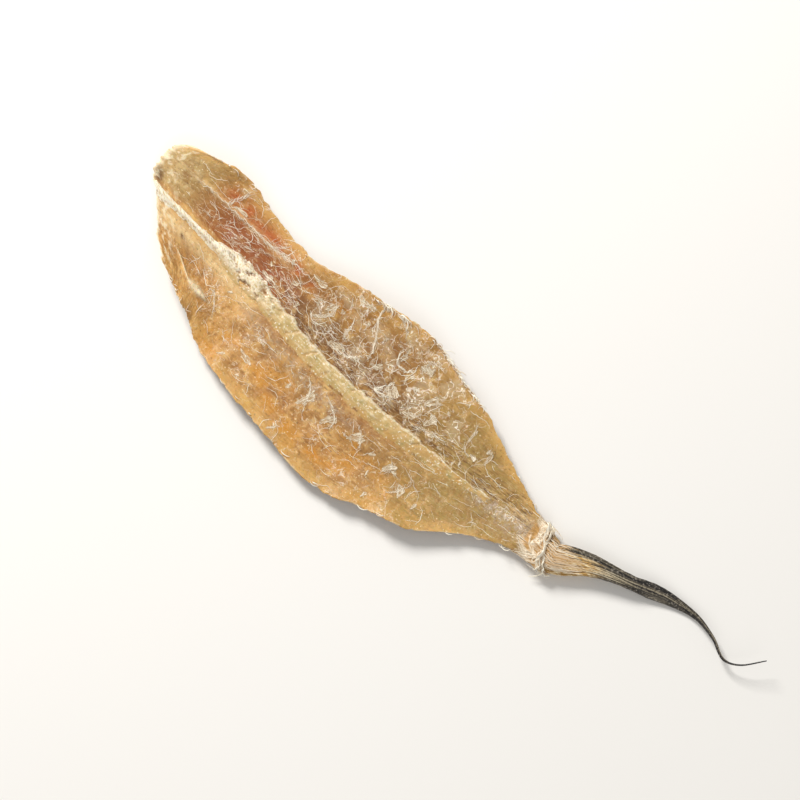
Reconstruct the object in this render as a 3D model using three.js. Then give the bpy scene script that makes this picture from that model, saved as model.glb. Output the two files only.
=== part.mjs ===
// A dried fish: split along its belly, opened flat, cleaned, headless, and dried hard with its
// long tail fin on. It lies with its flesh and backbone up. It grew as one piece, so it is one solid:
// a thin sheet of flesh with two flaps, a backbone ridge between them, and the fin at the end.
// Units are millimetres. +X runs along the fish from the head cut to the fin's tip, +Z is up.
// The origin is under the middle of the fish, on the surface that it rests on.
import * as THREE from 'three';

// Overall sizes.
const BODY_LENGTH = 180; // head cut to the end of the tail stalk
const FIN_LENGTH = 74; // end of the tail stalk to the fin's tip, along X
const LEFT_FLAP = 33; // widest reach of the +Y flap from the backbone
const RIGHT_FLAP = 30; // widest reach of the -Y flap from the backbone
const STALK_HALF_WIDTH = 5.3; // at the cuff of skin where the tail stalk ends
const FIN_HALF_WIDTH = 3.9; // where the fin leaves the cuff

// The backbone.
const BACKBONE_BOW = 9; // how far the backbone bows towards -Y in plan
const BACKBONE_HALF_WIDTH = 3; // from the ridge's crest to where it meets the flesh
const BACKBONE_RISE = 1.9; // the crest above the flesh beside it

// Thickness.
const FLESH_THICKNESS = 2.5; // beside the backbone
const EDGE_THICKNESS = 1; // along the flaps' outer edges
const STALK_THICKNESS = 4.6; // through the tail stalk
const FIN_THICKNESS = 1.4; // where the fin leaves the cuff
const TIP_THICKNESS = 0.7; // at the fin's tip

// How the sheet was cut at the head.
const HEAD_LEAD = 7; // how far the +Y flap's head end reaches past the backbone
const HEAD_LAG = 18; // how far the -Y flap's head corner is cut back
const HEAD_TAPER = 54; // the length over which both fade out

// How the sheet and the fin warped as they dried.
const LEFT_CURL = 7; // highest lift of the +Y flap's edge
const RIGHT_CURL = 6; // highest lift of the -Y flap's edge
const HEAD_RISE = 3; // lift of the head end
const HEAD_RISE_LENGTH = 46; // the length that is lifted
const STALK_RISE = 1.8; // lift of the tail stalk's end
const FIN_SWING = 16.8; // how far the fin swings towards +Y before it turns back

// How fine the solid is.
const BODY_STEPS = 46;
const FIN_STEPS = 36;

// Where one shape turns into the next, as shares of the body's or the fin's length.
const STALK_START = 0.84; // the flaps start to close into the round tail stalk
const FIN_ROOT = 0.05; // the round tail stalk has turned into the thin fin
const FIN_THINNED = 0.7; // the fin is down to its tip's thickness

// How a section bends. The sheet lies flat under the backbone, out to FLAT_END of each flap's reach,
// and curls up from there. The powers say how suddenly it curls and thins.
const FLAT_END = 0.3;
const CURL_POWER = 1.6;
const THINNING_POWER = 1.5;
const FIN_EDGE = 0.6; // the fin's edge, as a share of its thickness in the middle

// The places across a section where it has a vertex, from the -Y edge (-1) to the +Y edge (1).
const FLAP_PLACES = [0.08, 0.18, FLAT_END, 0.42, 0.55, 0.7, 0.85, 1];
const ACROSS = [...FLAP_PLACES.map((place) => -place).reverse(), 0, ...FLAP_PLACES];

const { smoothstep, lerp } = THREE.MathUtils;

// A smooth curve through [place, value] pairs, as a function of the place.
function through(pairs) {
  const places = new Float32Array(pairs.map((pair) => pair[0]));
  const values = new Float32Array(pairs.map((pair) => pair[1]));
  const curve = new THREE.CubicInterpolant(places, values, 1, new Float32Array(1));
  return (place) => curve.evaluate(THREE.MathUtils.clamp(place, places[0], places.at(-1)))[0];
}

// Shapes along the body, where 0 is the head cut and 1 the end of the tail stalk.
const leftReach = through([
  [0, 0.58], [0.11, 0.71], [0.19, 0.65], [0.27, 0.65], [0.37, 0.83], [0.47, 0.94], [0.57, 1],
  [0.69, 0.81], [0.76, 0.69], [0.83, 0.48], [0.92, 0.26], [1, STALK_HALF_WIDTH / LEFT_FLAP],
]);
const rightReach = through([
  [0, 0.57], [0.1, 0.74], [0.2, 0.81], [0.3, 0.9], [0.45, 0.95], [0.59, 1],
  [0.67, 0.87], [0.76, 0.74], [0.84, 0.45], [0.92, 0.25], [1, STALK_HALF_WIDTH / RIGHT_FLAP],
]);
const bow = through([[0, 0], [0.2, 0.2], [0.37, 0.76], [0.54, 1], [0.7, 0.83], [0.88, 0.52], [1, 0.46]]);
const leftCurl = through([
  [0, 0.55], [0.1, 0.8], [0.22, 0.55], [0.36, 0.8], [0.5, 1], [0.64, 0.72], [0.78, 0.8], [0.92, 0.3], [1, 0],
]);
const rightCurl = through([
  [0, 0.8], [0.12, 1], [0.26, 0.6], [0.42, 0.85], [0.58, 0.6], [0.74, 0.9], [0.88, 0.4], [1, 0],
]);

// Shapes along the fin, where 0 is the end of the tail stalk and 1 the tip: its swing, half its width
// and the height of its underside, as shares of FIN_SWING, FIN_HALF_WIDTH and STALK_RISE.
const finSwing = through([
  [0, 0], [0.16, 0.4], [0.33, 0.65], [0.51, 0.92], [0.66, 1], [0.76, 0.9], [0.87, 0.72],
  [0.93, 0.86], [1, 1.24],
]);
const finReach = through([
  [0, STALK_HALF_WIDTH / FIN_HALF_WIDTH], [0.05, 1], [0.16, 0.95], [0.33, 0.6], [0.42, 0.68], [0.5, 0.55],
  [0.6, 0.3], [0.7, 0.17], [0.85, 0.12], [1, 0.1],
]);
const finLift = through([
  [0, 1], [0.12, 1.6], [0.32, 1.5], [0.46, 0.7], [0.6, 0.4], [0.76, 1.4], [0.88, 1.8], [1, 3],
]);

const bodyShare = (x) => Math.min(x / BODY_LENGTH, 1);
const finShare = (x) => Math.max((x - BODY_LENGTH) / FIN_LENGTH, 0);
const stalkness = (x) => smoothstep(bodyShare(x), STALK_START, 1); // 0 on the flaps, 1 on the stalk

// The backbone's and the fin's line in plan.
const lineY = (x) => -BACKBONE_BOW * bow(bodyShare(x)) + FIN_SWING * finSwing(finShare(x));

// The unit vector in plan, square to that line, that points to the +Y flap.
function sideways(x) {
  const near = 1.5; // the slope is taken between two points this near on both sides
  const slope = (lineY(x + near) - lineY(x - near)) / (2 * near);
  return new THREE.Vector2(-slope, 1).normalize();
}

// How far a flap or the fin reaches from the line, on the side of t's sign.
function reach(x, t) {
  if (x > BODY_LENGTH) return FIN_HALF_WIDTH * finReach(finShare(x));
  return t > 0 ? LEFT_FLAP * leftReach(bodyShare(x)) : RIGHT_FLAP * rightReach(bodyShare(x));
}

// How far forward (-) or back (+) the head end lies at t: rounded on the +Y flap, cut back on the -Y one.
function headShift(x, t) {
  const shift = t > 0 ? -HEAD_LEAD * (1 - (2 * t - 1) ** 4) : HEAD_LAG * Math.abs(t) ** 1.2;
  return shift * (1 - smoothstep(x, 0, HEAD_TAPER));
}

// The underside's height above the surface.
function underside(x, t) {
  const curled = Math.max((Math.abs(t) - FLAT_END) / (1 - FLAT_END), 0) ** CURL_POWER;
  const curl = t > 0 ? LEFT_CURL * leftCurl(bodyShare(x)) : RIGHT_CURL * rightCurl(bodyShare(x));
  const head = HEAD_RISE * (1 - smoothstep(x, 0, HEAD_RISE_LENGTH));
  return curl * curled + head + STALK_RISE * stalkness(x) * finLift(finShare(x));
}

// The solid's thickness: flesh and backbone, then the round tail stalk, then the thin fin.
function thickness(x, t) {
  const round = Math.sqrt(Math.max(1 - t * t, 0));
  const crest = BACKBONE_RISE * Math.exp(-(((t * reach(x, t)) / BACKBONE_HALF_WIDTH) ** 2));
  const flesh = lerp(FLESH_THICKNESS, EDGE_THICKNESS, Math.abs(t) ** THINNING_POWER) + crest;
  const stalk = lerp(EDGE_THICKNESS, STALK_THICKNESS, round);
  const thinned = lerp(FIN_THICKNESS, TIP_THICKNESS, smoothstep(finShare(x), 0, FIN_THINNED));
  const fin = thinned * lerp(FIN_EDGE, 1, round);
  return lerp(lerp(flesh, stalk, stalkness(x)), fin, smoothstep(finShare(x), 0, FIN_ROOT));
}

// One closed ring of the solid: along its underside from -Y to +Y, and back over its top.
function ring(x) {
  const side = sideways(x);
  const at = (t, z) =>
    new THREE.Vector3(x + headShift(x, t) + side.x * t * reach(x, t), lineY(x) + side.y * t * reach(x, t), z);
  const under = ACROSS.map((t) => at(t, underside(x, t)));
  const over = ACROSS.map((t) => at(t, underside(x, t) + thickness(x, t)));
  return [...under, ...over.reverse()];
}

// A closed geometry through rings of the same number of points. Each end is closed by a strip
// across its ring, which joins each underside point to the top point over it.
function loft(rings) {
  const size = rings[0].length;
  const last = (rings.length - 1) * size;
  const index = [];
  for (let r = 0; r < rings.length - 1; r += 1) {
    for (let k = 0; k < size; k += 1) {
      const a = r * size + k;
      const b = r * size + ((k + 1) % size);
      index.push(a, b, a + size, b, b + size, a + size);
    }
  }
  for (let k = 0; k < size / 2 - 1; k += 1) {
    const [a, b, c, d] = [k, k + 1, size - 2 - k, size - 1 - k];
    index.push(a, c, b, a, d, c);
    index.push(last + a, last + b, last + c, last + a, last + c, last + d);
  }
  const geometry = new THREE.BufferGeometry().setFromPoints(rings.flat());
  geometry.setIndex(index);
  geometry.computeVertexNormals();
  return geometry;
}

function driedFish() {
  const stations = [];
  for (let i = 0; i < BODY_STEPS; i += 1) stations.push((BODY_LENGTH * i) / BODY_STEPS);
  for (let i = 0; i <= FIN_STEPS; i += 1) stations.push(BODY_LENGTH + (FIN_LENGTH * i) / FIN_STEPS);
  const geometry = loft(stations.map(ring));
  const flesh = new THREE.MeshStandardMaterial({ color: 0xc08a45, roughness: 0.42, metalness: 0 });
  const fish = new THREE.Mesh(geometry, flesh);
  fish.name = 'dried_fish';
  return fish;
}

// The origin goes to the bottom centre of the fish's own box.
const fish = driedFish();
const box = new THREE.Box3().setFromObject(fish);
const centre = box.getCenter(new THREE.Vector3());
fish.position.set(-centre.x, -centre.y, -box.min.z);

const part = new THREE.Group();
part.add(fish);

export default part;
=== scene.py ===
"""A dried fish, split along its belly and opened flat: the look of it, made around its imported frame.

The fish lies flesh side up with its head cut at -X and its tail fin at +X. Its surface is laid out by
two measures in millimetres: s, along the fish from the head cut, and w, across it from the backbone,
positive towards the +Y flap. Every piece is placed by them, so threads, bone and flesh stay together.
"""

import bpy
import numpy as np
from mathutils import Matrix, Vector


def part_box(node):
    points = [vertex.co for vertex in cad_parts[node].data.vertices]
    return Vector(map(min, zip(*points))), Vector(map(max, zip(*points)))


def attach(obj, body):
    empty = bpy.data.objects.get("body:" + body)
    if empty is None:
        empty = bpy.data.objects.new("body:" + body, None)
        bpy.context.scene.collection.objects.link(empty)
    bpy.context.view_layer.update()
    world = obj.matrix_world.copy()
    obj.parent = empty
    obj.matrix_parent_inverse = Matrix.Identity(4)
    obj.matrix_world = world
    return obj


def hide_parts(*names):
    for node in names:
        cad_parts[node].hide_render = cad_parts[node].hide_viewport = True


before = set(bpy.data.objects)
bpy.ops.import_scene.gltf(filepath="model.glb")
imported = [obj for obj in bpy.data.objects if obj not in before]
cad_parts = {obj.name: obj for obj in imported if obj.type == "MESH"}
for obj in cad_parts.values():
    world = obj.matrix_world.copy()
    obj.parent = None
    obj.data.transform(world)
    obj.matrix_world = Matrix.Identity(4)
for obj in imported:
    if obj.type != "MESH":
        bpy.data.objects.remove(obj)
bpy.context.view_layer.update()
MM = 0.001

# ---------------------------------------------------------------- the fish's measures, in millimetres
# Below, places along and across the fish, heights and widths are plain numbers of millimetres too.
BODY_LENGTH = 180.0
FIN_LENGTH = 74.0
LEFT_FLAP = 33.0
RIGHT_FLAP = 30.0
STALK_HALF_WIDTH = 5.3
FIN_HALF_WIDTH = 3.9
BACKBONE_BOW = 9.0
BACKBONE_RISE = 1.5
FLESH_THICKNESS = 2.3
TORN_EDGE = 0.3
STALK_THICKNESS = 4.4
LEFT_CURL = 7.0
RIGHT_CURL = 6.0
HEAD_LEAD = 7.0
HEAD_LAG = 18.0
HEAD_TAPER = 54.0
HEAD_RISE = 3.0
HEAD_RISE_LENGTH = 46.0
STALK_RISE = 1.8
FIN_SWING = 16.8
FLAT_END = 0.3  # the share of each flap's reach that lies flat
SEGMENT = 9.3  # from one muscle block, and one joint of the backbone, to the next
SLOPE_STEP = 1.5  # how far before and behind a point the slope of the fish's line is taken
INSET = 0.985  # threads stay within this share of the reach, just inside the torn edge


def through(*pairs):
    """A smooth curve through (place, value) pairs, as a function of the place."""
    places, values = np.array(pairs, float).T
    slopes = np.gradient(values, places)

    def curve(place):
        place = np.clip(place, places[0], places[-1])
        i = np.clip(np.searchsorted(places, place) - 1, 0, len(places) - 2)
        width = places[i + 1] - places[i]
        p = (place - places[i]) / width
        rise = p * p * (3 - 2 * p)
        lead = slopes[i] * width * p * (1 - p) ** 2
        tail = slopes[i + 1] * width * p * p * (p - 1)
        return values[i] * (1 - rise) + values[i + 1] * rise + lead + tail

    return curve


# Shapes along the body, from the head cut (0) to the end of the tail stalk (1), and along the fin.
left_reach = through((0, 0.58), (0.11, 0.71), (0.19, 0.65), (0.27, 0.65), (0.37, 0.83), (0.47, 0.94),
                     (0.57, 1), (0.69, 0.81), (0.76, 0.69), (0.83, 0.48), (0.92, 0.26),
                     (1, STALK_HALF_WIDTH / LEFT_FLAP))
right_reach = through((0, 0.57), (0.1, 0.74), (0.2, 0.81), (0.3, 0.9), (0.45, 0.95), (0.59, 1),
                      (0.67, 0.87), (0.76, 0.74), (0.84, 0.45), (0.92, 0.25),
                      (1, STALK_HALF_WIDTH / RIGHT_FLAP))
bow = through((0, 0), (0.2, 0.2), (0.37, 0.76), (0.54, 1), (0.7, 0.83), (0.88, 0.52), (1, 0.46))
left_curl = through((0, 0.55), (0.1, 0.8), (0.22, 0.55), (0.36, 0.8), (0.5, 1), (0.64, 0.72),
                    (0.78, 0.8), (0.92, 0.3), (1, 0))
right_curl = through((0, 0.8), (0.12, 1), (0.26, 0.6), (0.42, 0.85), (0.58, 0.6), (0.74, 0.9),
                     (0.88, 0.4), (1, 0))
fin_swing = through((0, 0), (0.16, 0.4), (0.33, 0.65), (0.51, 0.92), (0.66, 1), (0.76, 0.9), (0.87, 0.72),
                    (0.93, 0.86), (1, 1.24))
fin_reach = through((0, 1.3), (0.06, 1.22), (0.14, 0.98), (0.22, 0.76), (0.33, 0.6), (0.42, 0.68),
                    (0.5, 0.55), (0.6, 0.3), (0.7, 0.17), (0.85, 0.1), (1, 0.05))
fin_lift = through((0, 1), (0.12, 1.6), (0.32, 1.5), (0.46, 0.7), (0.6, 0.4), (0.76, 1.4), (0.88, 1.8),
                   (1, 3))


def mix(a, b, share):
    return a * (1 - share) + b * share


def smooth(value, low, high):
    """0 below low, 1 above high, and an even S between them. It falls where low is above high."""
    p = np.clip((value - low) / (high - low), 0, 1)
    return p * p * (3 - 2 * p)


def bump(value, centre, width):
    return np.exp(-(((value - centre) / width) ** 2))


def noise(x, y, seed):
    """Smooth random hills from about -0.7 to 0.7, one to each unit of x and y. Another seed gives other
    hills, and they repeat after 256 units."""
    turn = np.random.default_rng(seed).uniform(0, 2 * np.pi, (256, 256))
    x, y = np.broadcast_arrays(np.asarray(x, float), np.asarray(y, float))
    ix, iy = np.floor(x).astype(int), np.floor(y).astype(int)
    fx, fy = x - ix, y - iy

    def corner(dx, dy):
        angle = turn[(ix + dx) % 256, (iy + dy) % 256]
        return np.cos(angle) * (fx - dx) + np.sin(angle) * (fy - dy)

    sx, sy = fx * fx * (3 - 2 * fx), fy * fy * (3 - 2 * fy)
    return mix(mix(corner(0, 0), corner(1, 0), sx), mix(corner(0, 1), corner(1, 1), sx), sy)


def rough(x, y, seed, octaves=3):
    """Hills on hills: each octave is half as wide and half as high."""
    return sum(noise(x * 2**k, y * 2**k, seed + k) / 2**k for k in range(octaves))


def wrinkles(x, y, seed):
    """Sharp thin ridges, 0 to 1, where rolling hills cross their middle height."""
    return np.clip(1 - np.abs(rough(x, y, seed, 2)) / 0.16, 0, 1)


def body_share(s):
    return np.clip(s / BODY_LENGTH, 0, 1)


def fin_share(s):
    return np.clip((s - BODY_LENGTH) / FIN_LENGTH, 0, 1)


def stalkness(s):
    return smooth(body_share(s), 0.84, 1)


def line_y(s):
    """The backbone's and the fin's line in plan."""
    return -BACKBONE_BOW * bow(body_share(s)) + FIN_SWING * fin_swing(fin_share(s))


def reach(s, w):
    """How far the flesh or fin reaches from that line, on the side of w's sign."""
    flap = np.where(w > 0, LEFT_FLAP * left_reach(body_share(s)), RIGHT_FLAP * right_reach(body_share(s)))
    return np.where(s > BODY_LENGTH, FIN_HALF_WIDTH * fin_reach(fin_share(s)), flap)


def head_shift(s, t):
    """The head end is rounded on the +Y flap and cut back on the -Y one."""
    out = np.abs(t)
    shift = np.where(t > 0, -HEAD_LEAD * (1 - (2 * out - 1) ** 4), HEAD_LAG * out**1.2)
    return shift * smooth(s, HEAD_TAPER, 0)


OUTLINE_S = np.linspace(0, BODY_LENGTH, 400)
OUTLINE_Y = [line_y(OUTLINE_S) - reach(OUTLINE_S, -1.0), line_y(OUTLINE_S) + reach(OUTLINE_S, 1.0)]
LOW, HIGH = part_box("dried_fish")
X_OF_HEAD = LOW.x / MM + HEAD_LEAD
Y_OF_LINE = (LOW.y + HIGH.y) / 2 / MM - (OUTLINE_Y[0].min() + OUTLINE_Y[1].max()) / 2


def place(s, w, z):
    """The point at s along the fish, w across it and z up, in the frame's millimetres."""
    slope = (line_y(s + SLOPE_STEP) - line_y(s - SLOPE_STEP)) / (2 * SLOPE_STEP)
    length = np.hypot(slope, 1)
    t = np.clip(w / reach(s, w), -1, 1)
    x = X_OF_HEAD + s + head_shift(s, t) - slope / length * w
    y = Y_OF_LINE + line_y(s) + w / length
    return np.stack(np.broadcast_arrays(x, y, z), -1)


def inside(s, w, share=INSET):
    """w, kept within that share of the flesh's reach."""
    return np.clip(w, -reach(s, w) * share, reach(s, w) * share)


# ---------------------------------------------------------------- the surface of the flesh
def underside(s, w):
    """Height of the skin under the flesh: flat under the backbone, curled up towards the flaps' edges."""
    t = np.clip(w / reach(s, w), -1, 1)
    curled = np.maximum((np.abs(t) - FLAT_END) / (1 - FLAT_END), 0) ** 1.6
    curl = np.where(t > 0, LEFT_CURL * left_curl(body_share(s)), RIGHT_CURL * right_curl(body_share(s)))
    flutter = 1.1 * noise(s / 9, np.sign(w) * 7.3, 5) * curled**2 * smooth(s, 176, 160)
    head = HEAD_RISE * smooth(s, HEAD_RISE_LENGTH, 0)
    return curl * curled + flutter + head + STALK_RISE * stalkness(s) * fin_lift(fin_share(s))


def thickness(s, w):
    t = np.clip(w / reach(s, w), -1, 1)
    flesh = mix(FLESH_THICKNESS, TORN_EDGE, np.abs(t) ** 2.2)
    stalk = mix(TORN_EDGE, STALK_THICKNESS, np.sqrt(1 - t * t))
    return mix(flesh, stalk, stalkness(s))


def pocket(s, w):
    """The smooth hollow beside the backbone near the head, on the -Y flap."""
    return bump(s, 24, 11) * bump(w, -9.5, 4.2)


def pocket_rim(s, w):
    """The pale rolled fold that closes the pocket on its outer side, thickest in its middle."""
    thick = mix(0.35, 1.25, bump(s, 28, 5.5))
    return smooth(s, 9, 16) * smooth(s, 39, 33) * bump(w, -9.6 - 5.6 * smooth(s, 9, 24), thick)


def long_fold(s, w):
    """The long crease that the rusty flesh ends at near the head, on the +Y flap."""
    line = 12.2 + 0.05 * (s - 13) + 0.5 * noise(s / 3, 0.4, 11)
    return smooth(s, 9, 15) * smooth(s, 52, 43) * bump(w, line, 0.75)


def muscle_seams(s, w):
    """The thin seams between the muscle blocks, bent like a W across each flap."""
    bend = 2.6 * np.abs((np.abs(w) / 11) % 2 - 1) + 1.3 * noise(s / 12, w / 9, 21)
    phase = (s + bend) / SEGMENT
    return bump(phase - np.round(phase), 0, 0.09)


def torn_film(s, w):
    """How much of the membrane has dried on to the flesh: torn veils, most on the middle of each flap."""
    patches = 0.5 * rough(s / 9, w / 6, 61) + 0.3 * noise(s / 2.6, w / 2.6, 64)
    patches = patches + 0.25 * muscle_seams(s, w) * smooth(w, 1, 6) * smooth(s, 100, 118)
    patches = patches + 0.22 * smooth(w, -2, 8) * smooth(s, 50, 75) * smooth(s, 140, 120)
    patches = patches + 0.36 * bump(w, 0, 4) * smooth(s, 132, 150) * smooth(s, 176, 168)
    patches = patches - 0.3 * smooth(s, 24, 8) - 0.15 * smooth(s, 132, 160)
    return smooth(patches, -0.15, 0.55) * smooth(np.abs(w), 3, 5 - 4 * smooth(s, 130, 140))


def flesh_fibres(s, w):
    """Fine fibres along the fish, coarser beside the backbone."""
    drift = 0.8 * noise(s / 18, w / 6, 44)
    return rough(s / 5.5, (w + drift) / 0.95, 45, 2)


def relief(s, w):
    """What stands proud of the smooth flesh, or is sunk in it."""
    inner = smooth(np.abs(w), 1.5, 4.5)
    swell = 0.7 * noise(s / 24, w / 10, 41) + 0.42 * noise(s / 8, w / 5, 42)
    grain = 0.13 * rough(s / 3.4, w / 2.2, 43) + 0.04 * flesh_fibres(s, w) * smooth(w, -4, 2)
    film = torn_film(s, w) * (0.04 + 0.08 * wrinkles(s / 2.6, w / 2.2, 65))
    seams = -0.08 * muscle_seams(s, w)
    hollow = -0.7 * bump(w, 4.4, 1.5) * smooth(s, 176, 150) - 1.2 * pocket(s, w)
    fold = 0.5 * long_fold(s, w) - 0.45 * bump(w, 8, 3) * smooth(s, 6, 14) * smooth(s, 60, 44)
    swollen = 0.75 * bump(w, -9, 3.6) * smooth(s, 36, 60) * smooth(s, 130, 105)
    made = (swell + seams + film) * inner + grain + hollow + fold + swollen + 1.3 * pocket_rim(s, w)
    return made * mix(1, 0.5, stalkness(s))


def flesh_top(s, w):
    """Height of the flesh's upper surface."""
    thick = thickness(s, w)
    return underside(s, w) + thick + relief(s, w) * np.clip(thick / 1.1, 0, 1)


# ---------------------------------------------------------------- making meshes
COARSER = 3  # how much coarser the hidden undersides of the flesh and the backbone are


def add_piece(name, points, faces, materials, numbers, corners=None, of_face=None):
    """A smooth mesh from points in millimetres that stands for the frame's fish. numbers are its named
    values at each point, corners its bake map, and of_face says which material each face takes."""
    mesh = bpy.data.meshes.new(name)
    mesh.from_pydata((points * MM).tolist(), [], faces)
    for label, values in numbers.items():
        values = np.asarray(values, np.float32)
        kind, field = ("FLOAT_VECTOR", "vector") if values.shape[-1] == 3 else ("FLOAT", "value")
        mesh.attributes.new(label, kind, "POINT").data.foreach_set(field, values.ravel())
    if corners is not None:
        mesh.uv_layers.new(name="OFBake").data.foreach_set("uv", corners.astype(np.float32).ravel())
    for material in materials:
        mesh.materials.append(material)
    if of_face is not None:
        mesh.polygons.foreach_set("material_index", of_face)
    mesh.shade_smooth()
    piece = bpy.data.objects.new(name, mesh)
    bpy.context.scene.collection.objects.link(piece)
    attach(piece, "root")
    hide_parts("dried_fish")


def quads(grid):
    """The four corners of each cell of a grid of point numbers."""
    return np.stack([grid[:-1, :-1], grid[1:, :-1], grid[1:, 1:], grid[:-1, 1:]], -1).reshape(-1, 4)


def edge_strip(fine, coarse, step, flip):
    """Faces between an edge of the top and the same edge of an underside that is step times coarser."""
    cells = [fine[k:len(fine) - step + k:step] for k in range(step)] + [fine[step::step]]
    faces = np.stack(cells + [coarse[1:], coarse[:-1]], -1)
    return faces[:, ::-1] if flip else faces


def shell(grid, low, step=1):
    """The faces of a closed sheet in six parts: its top, its underside and its four edges."""
    return [
        quads(grid),
        quads(low)[:, ::-1],
        edge_strip(grid[:, 0], low[:, 0], step, True),
        edge_strip(grid[:, -1], low[:, -1], step, False),
        edge_strip(grid[0], low[0], step, False),
        edge_strip(grid[-1], low[-1], step, True),
    ]


def closed_sheet(name, surface, s, w, top, under, materials, zones, step=1):
    """A closed sheet over grids of s and w, between two heights. Its underside is step times coarser.
    materials are the top's and the underside's, and zones are the top's named values, kept to 0 to 1."""
    s, w, top, under = np.broadcast_arrays(s, w, top, under)
    rows, columns = s.shape
    thin = (slice(None, None, step), slice(None, None, step))
    count = rows * columns
    grid = np.arange(count).reshape(rows, columns)
    low = count + np.arange(s[thin].size).reshape(s[thin].shape)
    points = np.concatenate([surface(s, w, top).reshape(-1, 3), surface(s, w, under)[thin].reshape(-1, 3)])
    parts = shell(grid, low, step)
    # The bake map lays the top above the underside, unstretched, and each edge just outside the top.
    side = np.ptp(points[:, 0]) * 1.04  # the map's own width, with a margin at both ends
    margin = 0.01
    edge_width = 0.6
    spots = (points[:, :2] - points[:, :2].min(0)) / side + margin
    raised = spots + [0, 0.5]
    raised[count:] = raised[grid[thin].ravel()]
    outward = np.array([[0, 0], [0, 0], [0, -1], [0, 1], [-1, 0], [1, 0]]) * edge_width / side
    corners = [spots[part] if k == 1 else raised[part] + (part >= count)[..., None] * outward[k]
               for k, part in enumerate(parts)]
    numbers = {"lie": np.stack([s, w, top], -1)}
    for label, values in zones.items():
        numbers[label] = np.clip(np.broadcast_to(values, s.shape), 0, 1)
    flat = {}
    for label, values in numbers.items():
        last = values.shape[2:]
        below = values[thin].reshape(-1, *last)
        flat[label] = np.concatenate([values.reshape(-1, *last), below])
    of_face = np.concatenate([np.full(len(part), int(k == 1)) for k, part in enumerate(parts)])
    faces = [face for part in parts for face in part.tolist()]
    corners = np.concatenate([corner.reshape(-1, 2) for corner in corners])
    add_piece(name, points, faces, materials, flat, corners, of_face)


def add_strands(name, paths, widths, material, numbers, flatness=0.5, sides=4):
    """Thin tapered strands, each a closed tube along its path. paths is strands x points x 3."""
    count, steps = paths.shape[:2]
    along = np.gradient(paths, axis=1)
    along /= np.linalg.norm(along, axis=-1, keepdims=True) + 1e-9
    across = np.cross(along, [0, 0, 1.0])
    across /= np.linalg.norm(across, axis=-1, keepdims=True) + 1e-9
    up = np.cross(across, along)
    angles = np.arange(sides) * 2 * np.pi / sides
    ring = (np.cos(angles)[:, None] * across[:, :, None]
            + flatness * np.sin(angles)[:, None] * up[:, :, None])
    points = (paths[:, :, None] + ring * widths[:, :, None, None] / 2).reshape(-1, 3)
    base = np.arange(count * steps * sides).reshape(count, steps, sides)
    turned = np.roll(base, -1, axis=2)
    walls = np.stack([base[:, :-1], base[:, 1:], turned[:, 1:], turned[:, :-1]], -1).reshape(-1, 4)
    faces = walls.tolist() + base[:, 0].tolist() + base[:, -1, ::-1].tolist()
    flat = {}
    for label, values in numbers.items():
        flat[label] = np.repeat(np.broadcast_to(values, (count, steps)).ravel(), sides)
    add_piece(name, points, faces, [material], flat)


def add_threads(name, paths, widths, membrane, tone, flatness=0.5):
    """Strands of membrane. tone says how brown each of them is, from 0 to 1."""
    add_strands(name, paths, widths, membrane, {"rim": 1.0, "tone": tone}, flatness)


def add_films(name, tops, unders, numbers, membrane):
    """Thin torn films of membrane, as closed sheets. tops and unders are films x rows x columns x 3."""
    count, rows, columns = tops.shape[:3]
    grid = np.arange(rows * columns).reshape(rows, columns)
    one = np.concatenate(shell(grid, grid + rows * columns))
    starts = np.arange(count)[:, None, None] * rows * columns * 2
    points = np.stack([tops, unders], 1).reshape(-1, 3)
    flat = {}
    for label, values in numbers.items():
        values = np.broadcast_to(values, tops.shape[:values.ndim])
        flat[label] = np.stack([values, values], 1).reshape(-1, *values.shape[3:])
    add_piece(name, points, (one[None] + starts).reshape(-1, 4).tolist(), [membrane], flat)


# ---------------------------------------------------------------- materials
# "lie" holds where each point lies on its sheet or film, in millimetres, so a pattern's scale there is
# one over its size. The sizes are those of the real blotches, wrinkles and shreds. Real fibres,
# filaments and grit are finer than here, where they are as coarse as they need to be to show.


def paint(code):
    """An sRGB hex colour as the linear RGBA that the shaders take."""
    channels = [int(code[i:i + 2], 16) / 255 for i in (1, 3, 5)]
    return [c / 12.92 if c <= 0.04045 else ((c + 0.055) / 1.055) ** 2.4 for c in channels] + [1.0]


def node(tree, kind, inputs=(), out=0, **settings):
    """Adds a shader node with its settings and gives one of its outputs. Each input is a plain value,
    or another node's output to link from."""
    new = tree.nodes.new("ShaderNode" + kind)
    for name, value in settings.items():
        setattr(new, name, value)
    for name, value in dict(inputs).items():
        if isinstance(value, bpy.types.NodeSocket):
            tree.links.new(value, new.inputs[name])
        else:
            new.inputs[name].default_value = value
    return new.outputs[out]


def start_material(name, roughness, ior=1.5, clear=0.0, depth=1.0):
    """A material with its shader. clear and depth say how much light goes into it, and how many
    millimetres far; red goes furthest, as in anything amber."""
    material = bpy.data.materials.new(name)
    material.use_nodes = True
    tree = material.node_tree
    shader = tree.nodes["Principled BSDF"]
    shader.inputs["Roughness"].default_value = roughness
    shader.inputs["IOR"].default_value = ior
    shader.inputs["Subsurface Weight"].default_value = clear
    shader.inputs["Subsurface Radius"].default_value = (1.0, 0.5, 0.2)
    shader.inputs["Subsurface Scale"].default_value = depth * MM
    return material, tree, shader


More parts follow.
